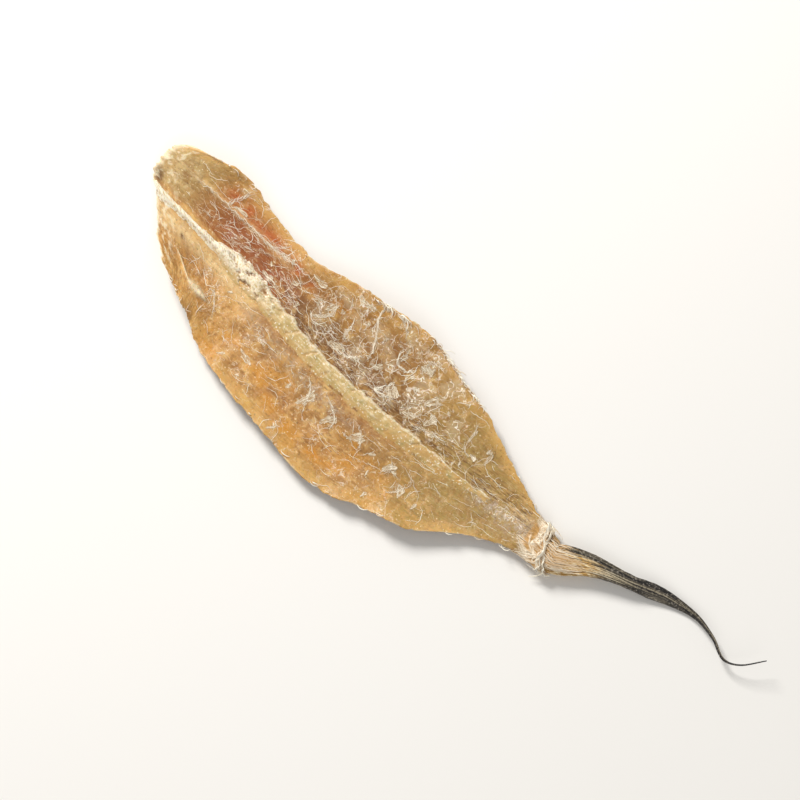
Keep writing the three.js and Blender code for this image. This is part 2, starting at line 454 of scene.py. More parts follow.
def dress(tree, shader, base, hills, coats, bumps):
    """Lays coats over the base colour, and bumps over the shape. Each coat has its pattern, where that
    starts and where it is full, its zone or strength, and its colour. Each bump has its pattern, its
    height in millimetres, below 0 where it sinks in, and its strength."""
    colour = paint(base)
    for pattern, start, full, strength, code in coats:
        inputs = {"Value": hills[pattern], "From Min": start, "From Max": full, "To Max": strength}
        share = node(tree, "MapRange", inputs)
        colour = node(tree, "Mix", {0: share, 6: colour, 7: paint(code)}, 2, data_type="RGBA")
    tree.links.new(colour, shader.inputs["Base Color"])
    below = {}
    for pattern, height, strength in bumps:
        inputs = {"Height": hills[pattern], "Distance": abs(height) * MM, "Strength": strength, **below}
        below = {"Normal": node(tree, "Bump", inputs, "Normal", invert=height < 0)}
    tree.links.new(below["Normal"], shader.inputs["Normal"])


def dried_flesh():
    """Raw fish flesh, salted and dried hard in the wind: honey to amber, half clear and half glossy like
    old varnish, with the membrane of the belly dried on to it in torn veils."""
    material, tree, shader = start_material("wind-dried fish flesh", 0.4, 1.46, 0.25, 1.2)
    lie = node(tree, "Attribute", out="Vector", attribute_name="lie")
    along = node(tree, "Mapping", {"Vector": lie, "Scale": (1 / 7, 1, 1)})
    askew = node(tree, "Mapping", {"Vector": lie, "Rotation": (0.5, 0.7, 0.6)})
    stray = node(tree, "TexNoise", {"Vector": askew, "Scale": 1 / 3.0, "Detail": 3.0}, "Color")
    bent = node(tree, "VectorMath", {0: stray, 1: (3.2, 3.2, 3.2), 2: askew},
                operation="MULTIPLY_ADD")
    zones = {zone: node(tree, "Attribute", out="Fac", attribute_name=zone)
             for zone in ("brown", "rust", "glow", "olive", "orange", "pale", "thin", "grey", "fibrous",
                          "film", "cream", "stain_and_shadow")}
    # Each pattern: where it is laid, its size in millimetres, its detail and its twist.
    patterns = {
        "clouds": (bent, 17, 3.0, 0.4),
        "mottle": (bent, 5.5, 3.0, 0.3),
        "blots": (bent, 2.2, 4.0, 0.6),
        "fibres": (along, 0.55, 3.0, 0.5),
        "grit": (askew, 0.75, 2.0, 0.0),
        "crumple": (bent, 1.3, 4.0, 0.6),
        "shreds": (bent, 3.0, 6.0, 1.4),
        "webs": (bent, 4.6, 2.0, 1.0),
    }
    hills = {}
    for name, (laid, size, detail, twist) in patterns.items():
        inputs = {"Vector": laid, "Scale": 1 / size, "Detail": detail, "Distortion": twist}
        hills[name] = node(tree, "TexNoise", inputs)
    # The dried veil is whole where this sum is over 1, and thickest along its torn edge.
    hills["veil"] = node(tree, "Math", {0: hills["shreds"], 1: zones["film"]})
    hills["lip"] = node(tree, "Math", {0: hills["veil"], 1: 1.04}, operation="PINGPONG")
    # Its threads follow the lines where rolling hills cross their middle height.
    hills["threads"] = node(tree, "Math", {0: hills["webs"], 1: 0.5}, operation="PINGPONG")
    coats = (
        ("clouds", 0.42, 0.58, 0.8, "#A87641"),
        ("mottle", 0.47, 0.31, 0.8, "#DBB06A"),
        ("mottle", 0.56, 0.70, 0.7, "#966228"),
        ("blots", 0.46, 0.34, 0.6, "#DDB676"),
        ("blots", 0.55, 0.66, 0.6, "#93662F"),
        ("mottle", 0.62, 0.36, zones["orange"], "#C6862F"),
        # Brown, and on the +Y flap partly painted shade.
        ("mottle", 0.20, 0.52, zones["brown"], "#7A5224"),
        ("blots", 0.24, 0.60, zones["olive"], "#A88A4C"),
        ("mottle", 0.15, 0.46, zones["rust"], "#8F4A20"),
        ("mottle", 0.70, 0.46, zones["glow"], "#B4501E"),
        ("blots", 0.30, 0.56, zones["pale"], "#E0BF88"),
        # Lighter golden towards the thin edges: painted glow of light through the thin flesh.
        ("clouds", 0.30, 0.65, zones["thin"], "#D5A85C"),
        ("crumple", 0.40, 0.60, zones["grey"], "#A8927A"),
        ("fibres", 0.46, 0.36, zones["fibrous"], "#5E3B20"),
        ("fibres", 0.55, 0.68, zones["fibrous"], "#D6B27C"),
        ("veil", 1.00, 1.40, 0.24, "#E0CEAA"),
        ("threads", 0.480, 0.495, 0.15, "#EBD5AC"),
        ("threads", 0.482, 0.496, zones["film"], "#F8ECD8"),
        ("lip", 1.020, 1.039, 0.5, "#F6ECDD"),
        # The pale grit specks are painted glints, small highlights of the glossy flesh; the dark ones are its
        # own dots.
        ("grit", 0.66, 0.71, 0.7, "#F2DDB4"),
        ("grit", 0.36, 0.30, 0.4, "#4E3118"),
        ("crumple", 0.30, 0.50, zones["cream"], "#E9D8B2"),
        # Dark brown where the flesh is stained, and painted shadow in the groove beside the backbone.
        ("crumple", 0.70, 0.45, zones["stain_and_shadow"], "#5E3B1E"),
    )
    # Wrinkles and fibre ends that are too small to model.
    bumps = (("fibres", 0.05, 0.9), ("grit", 0.07, 0.9), ("crumple", 0.14, 0.9))
    dress(tree, shader, "#C2904E", hills, coats, bumps)
    gloss = {"Value": hills["mottle"], "From Min": 0.35, "From Max": 0.65, "To Min": 0.36, "To Max": 0.52}
    tree.links.new(node(tree, "MapRange", gloss), shader.inputs["Roughness"])
    return material


def dried_skin():
    """The skin of the fish's back, dried tight: olive brown, darker in blotches along the back, with
    the small round pits that its scales left."""
    material, tree, shader = start_material("dried fish skin", 0.45, 1.46, 0.08, 1.0)
    lie = node(tree, "Attribute", out="Vector", attribute_name="lie")
    back = node(tree, "Attribute", out="Fac", attribute_name="back")
    along = node(tree, "Mapping", {"Vector": lie, "Scale": (1 / 6, 1, 1)})
    hills = {
        "clouds": node(tree, "TexNoise", {"Vector": lie, "Scale": 1 / 9, "Detail": 4.0}),
        "wrinkles": node(tree, "TexNoise", {"Vector": along, "Scale": 1 / 1.4, "Detail": 3.0}),
        "pits": node(tree, "TexVoronoi", {"Vector": lie, "Scale": 1 / 1.7}, "Distance"),
        "grit": node(tree, "TexNoise", {"Vector": lie, "Scale": 1 / 0.6, "Detail": 2.0}),
    }
    coats = (
        ("clouds", 0.40, 0.62, 0.9, "#B98F52"),
        ("clouds", 0.58, 0.34, back, "#5E4A33"),
        ("wrinkles", 0.48, 0.34, 0.6, "#6E4E2A"),
        ("pits", 0.45, 0.70, 0.6, "#6A4C2B"),
        ("grit", 0.62, 0.70, 0.6, "#E3CC9E"),
    )
    dress(tree, shader, "#9A7440", hills, coats, (("pits", -0.3, 0.6), ("wrinkles", 0.5, 0.8)))
    return material


def dried_membrane():
    """The lining of the belly, torn and dried to threads and film: white to straw, silky and so thin
    that the film between its pale torn edges shows the flesh under it."""
    material, tree, shader = start_material("dried belly membrane", 0.45, 1.5)
    lie = node(tree, "Attribute", out="Vector", attribute_name="lie")
    rim = node(tree, "Attribute", out="Fac", attribute_name="rim")
    tone = node(tree, "Attribute", out="Fac", attribute_name="tone")
    torn = node(tree, "Attribute", out="Fac", attribute_name="torn")
    along = node(tree, "Mapping", {"Vector": lie, "Scale": (1 / 6, 1, 1)})
    inputs = {"Vector": along, "Scale": 1 / 0.33, "Detail": 3.0, "Distortion": 1.0}
    filaments = node(tree, "TexNoise", inputs)
    silk = node(tree, "MapRange", {"Value": filaments, "From Min": 0.45, "From Max": 0.62})
    # The film is whole where the shreds stand over how torn it is, and brightest where it ends.
    inputs = {"Vector": lie, "Scale": 1 / 1.5, "Detail": 5.0, "Distortion": 0.9}
    shreds = node(tree, "TexNoise", inputs)
    left = node(tree, "Math", {0: shreds, 1: torn}, operation="SUBTRACT")
    whole = node(tree, "MapRange", {"Value": left, "From Min": 0.0, "From Max": 0.04})
    inputs = {"Value": left, "From Min": 0.11, "From Max": 0.02, "To Max": 0.35}
    lip = node(tree, "MapRange", inputs)
    bright = node(tree, "Math", {0: lip, 1: rim}, operation="MAXIMUM")
    hills = {"silk": silk, "bright": bright, "tone": tone, "filaments": filaments}
    coats = (
        ("silk", 0.0, 1.0, 1.0, "#F5E6CA"),
        ("bright", 0.0, 1.0, 1.0, "#FFF7E2"),
        ("tone", 0.0, 1.0, 1.0, "#C4924A"),
    )
    dress(tree, shader, "#E2CEA8", hills, coats, (("filaments", 0.08, 0.8),))
    # Filaments and torn edges cover the flesh, and the film between them hides a tenth of it.
    cover = node(tree, "Math", {0: silk, 1: 0.6, 2: bright}, operation="MULTIPLY_ADD")
    cover = node(tree, "MapRange", {"Value": cover, "From Max": 0.85, "To Min": 0.1})
    cover = node(tree, "Math", {0: cover, 1: whole}, operation="MULTIPLY")
    tree.links.new(cover, shader.inputs["Alpha"])
    return material


def dried_bone():
    """The backbone under its dried tendon: straw to cream, chalky, greenish and amber between."""
    material, tree, shader = start_material("dried backbone", 0.48, 1.5, 0.12, 1.0)
    lie = node(tree, "Attribute", out="Vector", attribute_name="lie")
    along = node(tree, "Mapping", {"Vector": lie, "Scale": (1 / 4, 1, 1)})
    zones = {zone: node(tree, "Attribute", out="Fac", attribute_name=zone)
             for zone in ("white", "amber", "crack_and_shadow")}
    hills = {
        "mottle": node(tree, "TexNoise", {"Vector": lie, "Scale": 1 / 3.0, "Detail": 4.0}),
        "streaks": node(tree, "TexNoise", {"Vector": along, "Scale": 1 / 0.8, "Detail": 3.0}),
        "grit": node(tree, "TexNoise", {"Vector": lie, "Scale": 1 / 0.7, "Detail": 2.0}),
    }
    coats = (
        ("mottle", 0.42, 0.58, 0.9, "#BBA064"),
        ("mottle", 0.58, 0.68, 0.6, "#9C8C56"),
        ("streaks", 0.46, 0.32, 0.3, "#A07F45"),
        ("streaks", 0.54, 0.68, 0.55, "#EFE0BD"),
        ("mottle", 0.72, 0.36, zones["amber"], "#BE9350"),
        # Cream white on the cord and on the +Y lip, the lip partly a painted highlight.
        ("grit", 0.30, 0.52, zones["white"], "#F2E6CC"),
        ("grit", 0.60, 0.68, 0.7, "#F7EDD6"),
        # Dark brown in torn holes and joints, and painted shadow in dashes along the -Y border.
        ("grit", 0.70, 0.45, zones["crack_and_shadow"], "#8A5A28"),
    )
    dress(tree, shader, "#D0B27A", hills, coats, (("streaks", 0.14, 1.0), ("grit", 0.12, 1.0)))
    return material


def dried_fin():
    """Fin rays and the skin between them, dried together: near black and freckled, with silvery streaks,
    and gold where they grow from the tail."""
    material, tree, shader = start_material("dried tail fin", 0.4, 1.5)
    spot = node(tree, "TexCoord", out="Object")
    streak = node(tree, "Attribute", out="Fac", attribute_name="streak")
    root = node(tree, "Attribute", out="Fac", attribute_name="root")
    along = node(tree, "Mapping", {"Vector": spot, "Scale": (1 / 6, 1, 1)})
    hills = {
        "freckles": node(tree, "TexNoise", {"Vector": spot, "Scale": 1 / (0.7 * MM), "Detail": 3.0}),
        "streaks": node(tree, "TexNoise", {"Vector": along, "Scale": 1 / (0.9 * MM), "Detail": 3.0}),
    }
    coats = (
        ("streaks", 0.52, 0.66, 0.4, "#6B6053"),
        ("freckles", 0.56, 0.66, 0.7, "#A0978A"),
        ("freckles", 0.25, 0.50, streak, "#C9BA9C"),
        ("streaks", 0.95, 0.62, root, "#C3964E"),
        ("streaks", 0.42, 0.60, root, "#E9D6AC"),
    )
    dress(tree, shader, "#1E1A16", hills, coats, (("freckles", 0.2, 0.7),))
    return material


# ---------------------------------------------------------------- the flesh and the backbone
def flesh_zones(s, w, edge):
    """How brown, rusty, pale and so on the flesh is, from 0 to 1 or more. edge is 1 on the outline."""
    holes = sum(bump(s, along, 1.0) * bump(w, across, 0.8)
                for along, across in ((45.5, 2.2), (36.0, 1.6), (54.5, 2.6), (61.5, 7.2), (13.6, -5.6)))
    # A thin dark line just past the backbone's +Y edge, in the groove at the flap's root, is painted shadow.
    groove_shadow = bump(w, 4.6, 0.5) * smooth(s, 48, 60) * smooth(s, 140, 120)
    groove_shadow = groove_shadow * smooth(noise(s / 3, 0.7, 67), -0.3, 0.2)
    # The +Y flap is browner, partly its own brown and partly painted shade, as it lies turned from the light.
    left_flap_brown_and_shade = smooth(w, 0, 3) * mix(0.95, 0.5, smooth(w, 8, 22)) * smooth(s, 44, 60) * smooth(s, 170, 115)
    patchy = smooth(noise(s / 16, w / 9, 68), -0.25, 0.25)
    torn_rim = smooth(edge, 0.97, 1) * smooth(noise(s / 3, w / 9, 66), -0.2, 0.2)
    crumbs = smooth(s, 16, 2) * smooth(rough(s / 3, w / 2.2, 69), 0.05, 0.3)
    return {
        "brown": left_flap_brown_and_shade + 0.4 * bump(w, -8, 4) * smooth(s, 55, 70)
        + 0.65 * bump(w, 0, 6) * smooth(s, 130, 145) + 0.7 * smooth(s, 34, 8) * smooth(w, 2, 5),
        "rust": smooth(w, 1.5, 3.5) * smooth(w, 14, 11) * smooth(s, 10, 32) * smooth(s, 66, 44) * 0.9,
        "glow": bump(w, 16.5, 3.2) * smooth(s, 16, 26) * smooth(s, 66, 50) * 0.8,
        "olive": smooth(s, 100, 140) * 0.9 + 0.9 * smooth(s, 26, 8) * smooth(w, 2, 5),
        "orange": smooth(w, -5, -12) * smooth(s, 150, 120) * patchy * 0.9
        + 0.8 * bump(s, 68, 14) * smooth(w, 13, 20),
        "pale": bump(w, -4.5, 2.6) * smooth(s, 60, 40) + 0.45 * smooth(s, 20, 6) * smooth(w, 2, 6),
        "grey": smooth(s, 140, 152) * bump(w, 0, 3.6) * 0.9
        + 0.6 * bump(w, -6.5, 3) * smooth(s, 45, 60) * smooth(s, 115, 90),
        # Painted glow of light through the thin flesh near the outline.
        "thin": smooth(edge, 0.72, 0.98) * 0.8,
        "fibrous": 0.2 + 0.5 * smooth(w, 1, 3) * smooth(w, 13, 5) * smooth(s, 30, 60),
        "film": torn_film(s, w) * mix(0.75, 1, smooth(w, -3, 3)),
        "cream": 1.4 * pocket_rim(s, w) + 0.5 * torn_rim + 0.25 * long_fold(s, w)
        + 0.9 * smooth(s, 2.2, 0.4) + 0.8 * crumbs,
        # Real stains and torn holes, and the painted shadow line in the groove beside the backbone.
        "stain_and_shadow": 0.9 * bump(s, 2.2, 2.0) * bump(w, 4.0, 2.2) + holes + 0.55 * groove_shadow,
        "back": bump(w, 0, 9),
    }


def flesh_sheet(flesh, skin):
    """Both flaps and the tail stalk, torn along the edges and at the head cut."""
    rows, columns = 180 * COARSER + 1, 54 * COARSER + 1
    s = np.linspace(0, BODY_LENGTH, rows)[:, None]
    t = np.linspace(-1, 1, columns)[None, :]
    side = np.where(t < 0, -1.0, 1.0)
    edge = np.abs(t) * np.ones_like(s)
    torn = 0.6 * rough(s / 6, side * 3.1, 51) + 0.5 * noise(s / 1.6, side * 5.7, 52)
    w = t * (reach(s, side) + torn * edge**8 * smooth(s, 178, 168))

    def surface(s, w, z):
        points = place(s, w, z)
        points[..., 0] += smooth(s, 8, 0) * (1.5 * rough(w / 3.2, 0.5, 53) + 0.5 * noise(w / 1.1, 0.5, 54))
        return points

    closed_sheet("flesh", surface, s, w, flesh_top(s, w), underside(s, w), [flesh, skin],
                 flesh_zones(s, w, edge), COARSER)


def backbone(bone):
    """The ridge of bone and tendon: a flat streaky band in joints, torn open to a cord at the head."""
    rows, columns = 160 * COARSER + 1, 10 * COARSER + 1
    s = np.linspace(-0.5, 152, rows)[:, None]
    across = np.linspace(-1, 1, columns)[None, :]
    half = mix(1.4, 3.5, smooth(s, 22, 38)) * mix(1, 0.45, smooth(s, 112, 150))
    half = half * (1 + 0.18 * rough(s / 5, 0.3, 71)) * (1 + 0.3 * bump(s, 42, 9)) + 0.9 * bump(s, 2.5, 2.2)
    centre = 0.5 * smooth(s, 20, 50) + 0.4 * noise(s / 14, 1.7, 72)
    ragged = rough(s / 3.4, np.sign(across) * 3.3, 77) * np.abs(across) ** 5
    w = across * half + centre + 1.1 * ragged
    # Steep on the +Y side, and sloping down into the flesh on the other one.
    dome = smooth(across, 1, 0.7) * smooth(across, -1, 0.3) ** 0.7
    joint = (s - 2.2 * across + noise(s / 3, w / 2, 78)) / SEGMENT
    joint = bump(joint - np.round(joint), 0, 0.06) * smooth(noise(s / 4, w / 1.5, 79), -0.1, 0.3)
    crust = 0.4 * rough(s / 4.8, w / 2.4, 73) + 0.1 * noise(s / 5, w / 0.6, 74)
    lip = 0.3 * bump(across, 0.86, 0.1) * smooth(s, 40, 60) * smooth(s, 140, 120)
    rise = BACKBONE_RISE * mix(0.9, 0.65, smooth(s, 20, 50)) * mix(1, 0.12, smooth(s, 112, 150))
    base = flesh_top(s, centre) * 0.5 + flesh_top(s, w) * 0.5
    hole = bump(s, 49, 1.8) * bump(across, 0.5, 0.3)
    torn = smooth(rough(s / 4, w / 2, 75), 0.12, 0.3) * bump(s, 44, 12) + hole
    z = base + rise * dome + (crust - 0.25 * joint) * dome + lip - 0.6 * torn - 0.1
    low = flesh_top(s, w) - 1.0
    # Dark dashes along the -Y border are painted shadow, the shade under the ridge's edge.
    shadow_dashes = smooth(noise(s / 2.6, 0.5, 76), 0.05, 0.25) * bump(across, -0.7, 0.12)
    beside = smooth(across, 0.1, -0.9)
    zones = {
        # White on the cord at the head, and on the raised lip of the +Y edge, there partly the tendon's own
        # cream and partly a painted highlight; paler too on the crust's raised tops.
        "white": smooth(s, 62, 34) * (1 - beside * smooth(s, 20, 36)) + bump(across, 0.86, 0.12) * 0.8
        + smooth(crust, 0.1, 0.3) * 0.3,
        "amber": beside * 0.95 + joint * 0.5 + smooth(s, 90, 135),
        # Darker in torn holes and joints, and painted shadow in the dashes along the -Y border.
        "crack_and_shadow": shadow_dashes * smooth(s, 50, 64) + torn * 0.9 + 0.35 * joint * dome,
    }
    closed_sheet("backbone", place, s, w, z, low, [bone, bone], zones, COARSER)


# ---------------------------------------------------------------- torn membrane
def tapering(widths, steps):
    """Each strand's width along it, drawn out thin at both ends."""
    u = np.clip(np.linspace(0, 1, steps), 0.03, 0.97)
    return widths[:, None] * np.sqrt(np.sin(np.pi * u))


def wandering(rng, s0, w0, heading, length, bend, steps):
    """Paths that start at (s0, w0), run along heading, and curve by bend from end to end. Each sways
    slowly, and jitters from step to step."""
    count = len(s0)
    sway = rng.normal(0, 0.45, (count, steps)).cumsum(1) / np.sqrt(steps)
    jitter = rng.normal(0, 0.22, (count, steps))
    angle = heading[:, None] + bend[:, None] * np.linspace(-0.5, 0.5, steps) + (sway + jitter)
    step = (length / steps)[:, None]
    s = s0[:, None] + np.cumsum(np.cos(angle) * step, 1)
    w = w0[:, None] + np.cumsum(np.sin(angle) * step, 1)
    return s, inside(s, w)


def on_flesh(s, w, lift):
    return place(s, w, flesh_top(s, w) + lift)


def ridge_hairs(membrane):
    """Fine straight hairs of membrane along the fish, close together beside the backbone."""
    rng = np.random.default_rng(81)
    count, steps = 340, 10
    left = rng.random(count) < 0.75
    s0 = rng.uniform(12, 135, count)
    w0 = np.where(left, 3.6 + 13 * rng.random(count) ** 1.4, -3.2 - 14 * rng.random(count))
    length = rng.gamma(2.5, 2.2, count).clip(1.5, 17)
    s, w = wandering(rng, s0, w0, rng.normal(0.03, 0.2, count), length, rng.normal(0, 0.35, count), steps)
    widths = tapering(rng.uniform(0.06, 0.15, count), steps)
    tone = (rng.random((count, 1)) < 0.3) * 0.9
    add_threads("ridge_hairs", on_flesh(s, w, 0.03), widths, membrane, tone)


def curled_threads(membrane):
    """Longer threads that curl over both flaps and break off."""
    rng = np.random.default_rng(82)
    count, steps = 160, 16
    s0 = rng.uniform(14, 158, count)
    side = np.where(rng.random(count) < 0.7, 1.0, -1.0)
    w0 = side * rng.uniform(0.2, 0.95, count) * reach(s0, side)
    length = rng.gamma(2.6, 2.0, count).clip(2, 16)
    bend = rng.normal(0, 1.3, count)
    s, w = wandering(rng, s0, w0, rng.uniform(0, 2 * np.pi, count), length, bend, steps)
    widths = tapering(rng.uniform(0.08, 0.2, count), steps)
    lift = 0.02 + 0.5 * rng.random((count, 1)) ** 4 * np.linspace(0, 1, steps)
    tone = rng.uniform(0, 0.7, (count, 1)) ** 2
    add_threads("curled_threads", on_flesh(s, w, lift), widths, membrane, tone)


# The main torn edges of the membrane: where each runs, and how wide it is.
TORN_LINES = (
    (((84, 32), (81.5, 28), (83, 24.5), (86.5, 20.5), (89.5, 15), (90, 12.5)), 0.75),
    (((84, 32), (88, 31), (92, 29.5), (95, 27)), 0.5),
    (((62, 20), (66.5, 19.5), (69.5, 17), (69, 13.5), (66.5, 11), (65, 10.5)), 0.6),
    (((76, 20.5), (77.5, 17), (78, 13.5), (80.5, 12)), 0.45),
    (((99, 25.5), (97, 23), (98.5, 19.5), (102.5, 18.5), (105.5, 20.5), (105.5, 24)), 0.55),
    (((107, 25.5), (110, 26.8), (114.5, 26.6)), 0.6),
    (((103, 14.5), (100.5, 10), (99, 7.5), (103, 8), (108, 10.5)), 0.55),
    (((70, 9.5), (75, 8), (82, 8.5), (88, 11.5)), 0.5),
    (((13, 12.1), (19, 12.7), (25, 12.6), (32, 13.2), (39, 13.6), (46, 14.8)), 0.5),
    (((24, 12.5), (24.5, 15.5), (25.5, 18), (25, 21)), 0.55),
    (((38, 14), (41, 15.5), (43.5, 18.5)), 0.45),
    (((39, 13.5), (46, 15.5), (53, 17), (60, 17.5)), 0.5),
    (((30, 4.5), (36, 7.5), (41, 11), (44, 12.8)), 0.28),
    (((80, -4.5), (84, -8), (85.5, -12.5), (87, -15)), 0.5),
    (((88, -4.5), (93, -7), (95.5, -8.5), (96.5, -11.5), (94.5, -13.5)), 0.5),
    (((100, -4.5), (104, -6), (107, -9.5), (107.5, -12.5)), 0.45),
    (((33, -14), (36, -11), (40, -13.5), (44, -17)), 0.4),
    (((50, -17), (54, -18), (57, -17.5)), 0.35),
    (((118, -7), (120, -10), (117.5, -13)), 0.35),
    (((125, -6), (128, -10), (125.5, -15), (122, -18.5)), 0.4),
    (((116, 5.5), (122, 7.5), (129, 8)), 0.4),
    (((133.5, 19), (135, 16.5), (134.5, 14.5)), 0.4),
    (((143, 12.5), (144, 11)), 0.4),
    (((134, 12), (136, 9.5), (138, 9)), 0.35),
)


def torn_lines(membrane):
    """The membrane's torn edges: bundles of crinkled threads that part and meet, with loose ends."""
    rng = np.random.default_rng(84)
    # Along each edge, leaving it, and points to each of them.
    strands, ends, steps = 11, 10, 48
    u = np.linspace(0, 1, steps)
    all_s, all_w, all_widths = [], [], []
    for route, width in TORN_LINES:
        route = np.array(route, float)
        walked = np.r_[0, np.cumsum(np.hypot(*np.diff(route, axis=0).T))]
        length = walked[-1]
        begins = np.r_[0, rng.uniform(0, 0.75, strands - 1), rng.uniform(0, 0.9, ends)]
        stops = np.r_[0.9, begins[1:strands] + rng.uniform(0.1, 0.5, strands - 1),
                      begins[strands:] + rng.uniform(0.05, 0.2, ends)]
        stops = np.minimum(stops, 1)
        walk = (begins[:, None] + (stops - begins)[:, None] * u) * length
        which = np.arange(strands + ends)[:, None] * 7.7 + 0.5
        apart = np.r_[0.3, rng.uniform(0.5, 1.5, strands - 1), np.full(ends, 0.8)][:, None]
        leave = np.r_[np.zeros(strands), rng.normal(0, 1.6, ends)][:, None] * u**1.4
        crinkle = 0.8 * rough(walk / 1.5, which, rng.integers(999), 3)
        all_s.append(through(*zip(walked, route[:, 0]))(walk) + apart * noise(walk / 3, which, 107) + crinkle)
        all_w.append(through(*zip(walked, route[:, 1]))(walk) + apart * noise(walk / 3, which, 108) - crinkle
                     + leave)
        thick = width * np.r_[0.25, rng.uniform(0.1, 0.3, strands - 1), rng.uniform(0.1, 0.24, ends)]
        all_widths.append(tapering(thick, steps) * (1 + 1.1 * noise(walk / 1.3, which, 109)))
    s, w, widths = map(np.concatenate, (all_s, all_w, all_widths))
    w = inside(s, w)
    lift = 0.04 + 0.2 * np.abs(noise(s / 2.5, w / 2.5, 110))
    tone = rng.uniform(0, 0.7, (len(s), 1)) ** 1.5
    add_threads("torn_lines", on_flesh(s, w, lift), widths, membrane, tone, 0.4)


FILM = 0.05  # how thick a film of membrane is
# The largest films, each by its place, its length and width, and its turn from the fish's own line.
LARGE_FILMS = (
    (93.5, 13.5, 6.0, 4.0, 0.4), (104.0, 11.0, 8.0, 6.5, -0.7), (68.0, 16.0, 6.5, 3.6, 1.1),
    (109.0, 23.5, 8.5, 4.0, 0.1), (75.5, 25.7, 12.0, 3.4, 0.05), (99.5, 21.5, 5.0, 3.0, 1.3),
    (85.0, -11.0, 9.0, 5.0, 1.3), (94.5, -10.5, 8.5, 4.6, 0.9), (104.5, -9.0, 8.5, 5.5, 0.6),
    (117.0, 16.0, 8.0, 4.5, 0.9), (113.5, 8.0, 7.0, 4.5, 0.2), (120.5, 10.5, 7.0, 5.0, 1.2),
    (135.0, 15.0, 7.5, 2.2, 1.5), (144.0, 11.5, 6.0, 2.0, 1.5), (119.0, -10.0, 6.5, 4.5, 1.0),
    (58.0, 19.0, 9.0, 3.0, 0.1), (28.0, 14.5, 8.0, 2.2, 0.1), (46.0, 6.5, 9.0, 3.0, 0.1),
    (78.0, 9.0, 9.0, 2.6, 0.25), (127.0, -14.0, 6.0, 4.0, 1.9), (62.0, -16.0, 8.0, 3.0, -0.2),
)


def membrane_films(membrane):
    """Torn films of membrane that lie on the flesh with their edges up, large ones and scraps."""
    rng = np.random.default_rng(83)
    scraps = 36
    s0 = 40 + 105 * (np.arange(scraps) * 0.618 % 1)
    side = np.where(rng.random(scraps) < 0.6, 1.0, -1.0)
    w0 = side * (0.22 + 0.7 * (np.arange(scraps) * 0.414 % 1)) * reach(s0, side)
    small = np.stack([s0, w0, rng.uniform(2.0, 5.0, scraps), rng.uniform(1.0, 2.6, scraps),
                      rng.normal(1.1, 0.6, scraps)], -1)
    films = np.concatenate([LARGE_FILMS, small])
    count, rows, columns = len(films), 34, 21
    u = np.linspace(-1, 1, rows)[None, :, None]
    v = np.linspace(-1, 1, columns)[None, None, :]
    s0, w0, length, width, turn = films.T[:, :, None, None]
    seed_line = np.arange(count)[:, None, None] * 9.7
    a = u * length * 0.6 * (1 + 0.2 * noise(v * width, seed_line, 86))
    fan = mix(0.35, 1.1, smooth(u, -1, 1)) * (1 + 0.5 * noise(u * length / 3, seed_line, 85))
    b = v * width * 0.6 * fan + 0.12 * length * u * u * np.sin(seed_line)
    s = s0 + a * np.cos(turn) - b * np.sin(turn)
    w = w0 + a * np.sin(turn) + b * np.cos(turn)
    w = inside(s, w)
    pleat = wrinkles(a / 4.2 + seed_line, b / 1.4, 87) ** 2
    out = (np.abs(u) ** 3 + np.abs(v) ** 3) ** (1 / 3)
    torn = mix(0.2, 0.98, smooth(out + 0.35 * rough(a / 2 + seed_line, b / 2, 90, 2), 0.25, 1))
    z = flesh_top(s, w) + 0.05 + 0.06 * pleat + 0.12 * smooth(torn, 0.3, 0.6)
    lie = np.stack(np.broadcast_arrays(a, v * width * 0.6, seed_line), -1)
    numbers = {"torn": torn, "rim": 0.4 * pleat, "tone": rng.uniform(0, 0.4, (count, 1, 1)) ** 2, "lie": lie}
    add_films("membrane_films", place(s, w, z), place(s, w, z - FILM), numbers, membrane)


def edge_fringe(membrane):
    """Short ends of membrane that stand out over the flaps' edges, most of them on the +Y flap."""
    rng = np.random.default_rng(88)
    count, steps = 130, 12
    s0 = np.concatenate([rng.normal(84, 5, 35), rng.normal(114, 9, 55), rng.uniform(3, 165, 40)])
    side = np.where(np.arange(count) < 100, 1.0, np.where(rng.random(count) < 0.5, 1.0, -1.0))
    rim = side * reach(s0, side)
    length = rng.uniform(1.2, 5.0, count)
    u = np.linspace(0, 1, steps)
    heading = rng.normal(0.0, 0.2, count)[:, None]
    heading = heading + side[:, None] * rng.normal(1.6, 0.7, (count, 1)) * (0.4 - u)
    s = s0[:, None] + np.cumsum(np.cos(heading), 1) * length[:, None] / steps
    w = rim[:, None] * 0.97 + np.cumsum(np.sin(heading), 1) * length[:, None] / steps
    z = flesh_top(s, inside(s, w)) + 0.15 + 0.5 * np.sin(np.pi * u)
    out = w - inside(s, w, 1)
    points = place(s, w - out, z)
    points[..., 1] += out
    widths = tapering(rng.uniform(0.15, 0.4, count), steps)
    tone = rng.uniform(0, 0.8, (count, 1)) ** 2
    add_threads("edge_fringe", points, widths, membrane, tone)


def stalk_fibres(membrane):
    """Long fibres that run together down the tail stalk."""
    rng = np.random.default_rng(87)
    count, steps = 50, 18
    s0 = rng.uniform(112, 170, count)
    out = rng.uniform(-1, 1, count)
    length = np.minimum(rng.gamma(2.5, 2.2, count).clip(2, 16), 179 - s0)
    s = s0[:, None] + length[:, None] * np.linspace(0, 1, steps)
    half = np.minimum(reach(s, out[:, None]) * 0.95, 9)
    w = out[:, None] * half + 0.09 * rng.normal(0, 1, (count, steps)).cumsum(1)
    w = inside(s, w, 0.98)
    widths = tapering(rng.uniform(0.06, 0.13, count), steps)
    tone = (rng.random((count, 1)) < 0.4) * 0.9
    add_threads("stalk_fibres", on_flesh(s, w, 0.04), widths, membrane, tone)


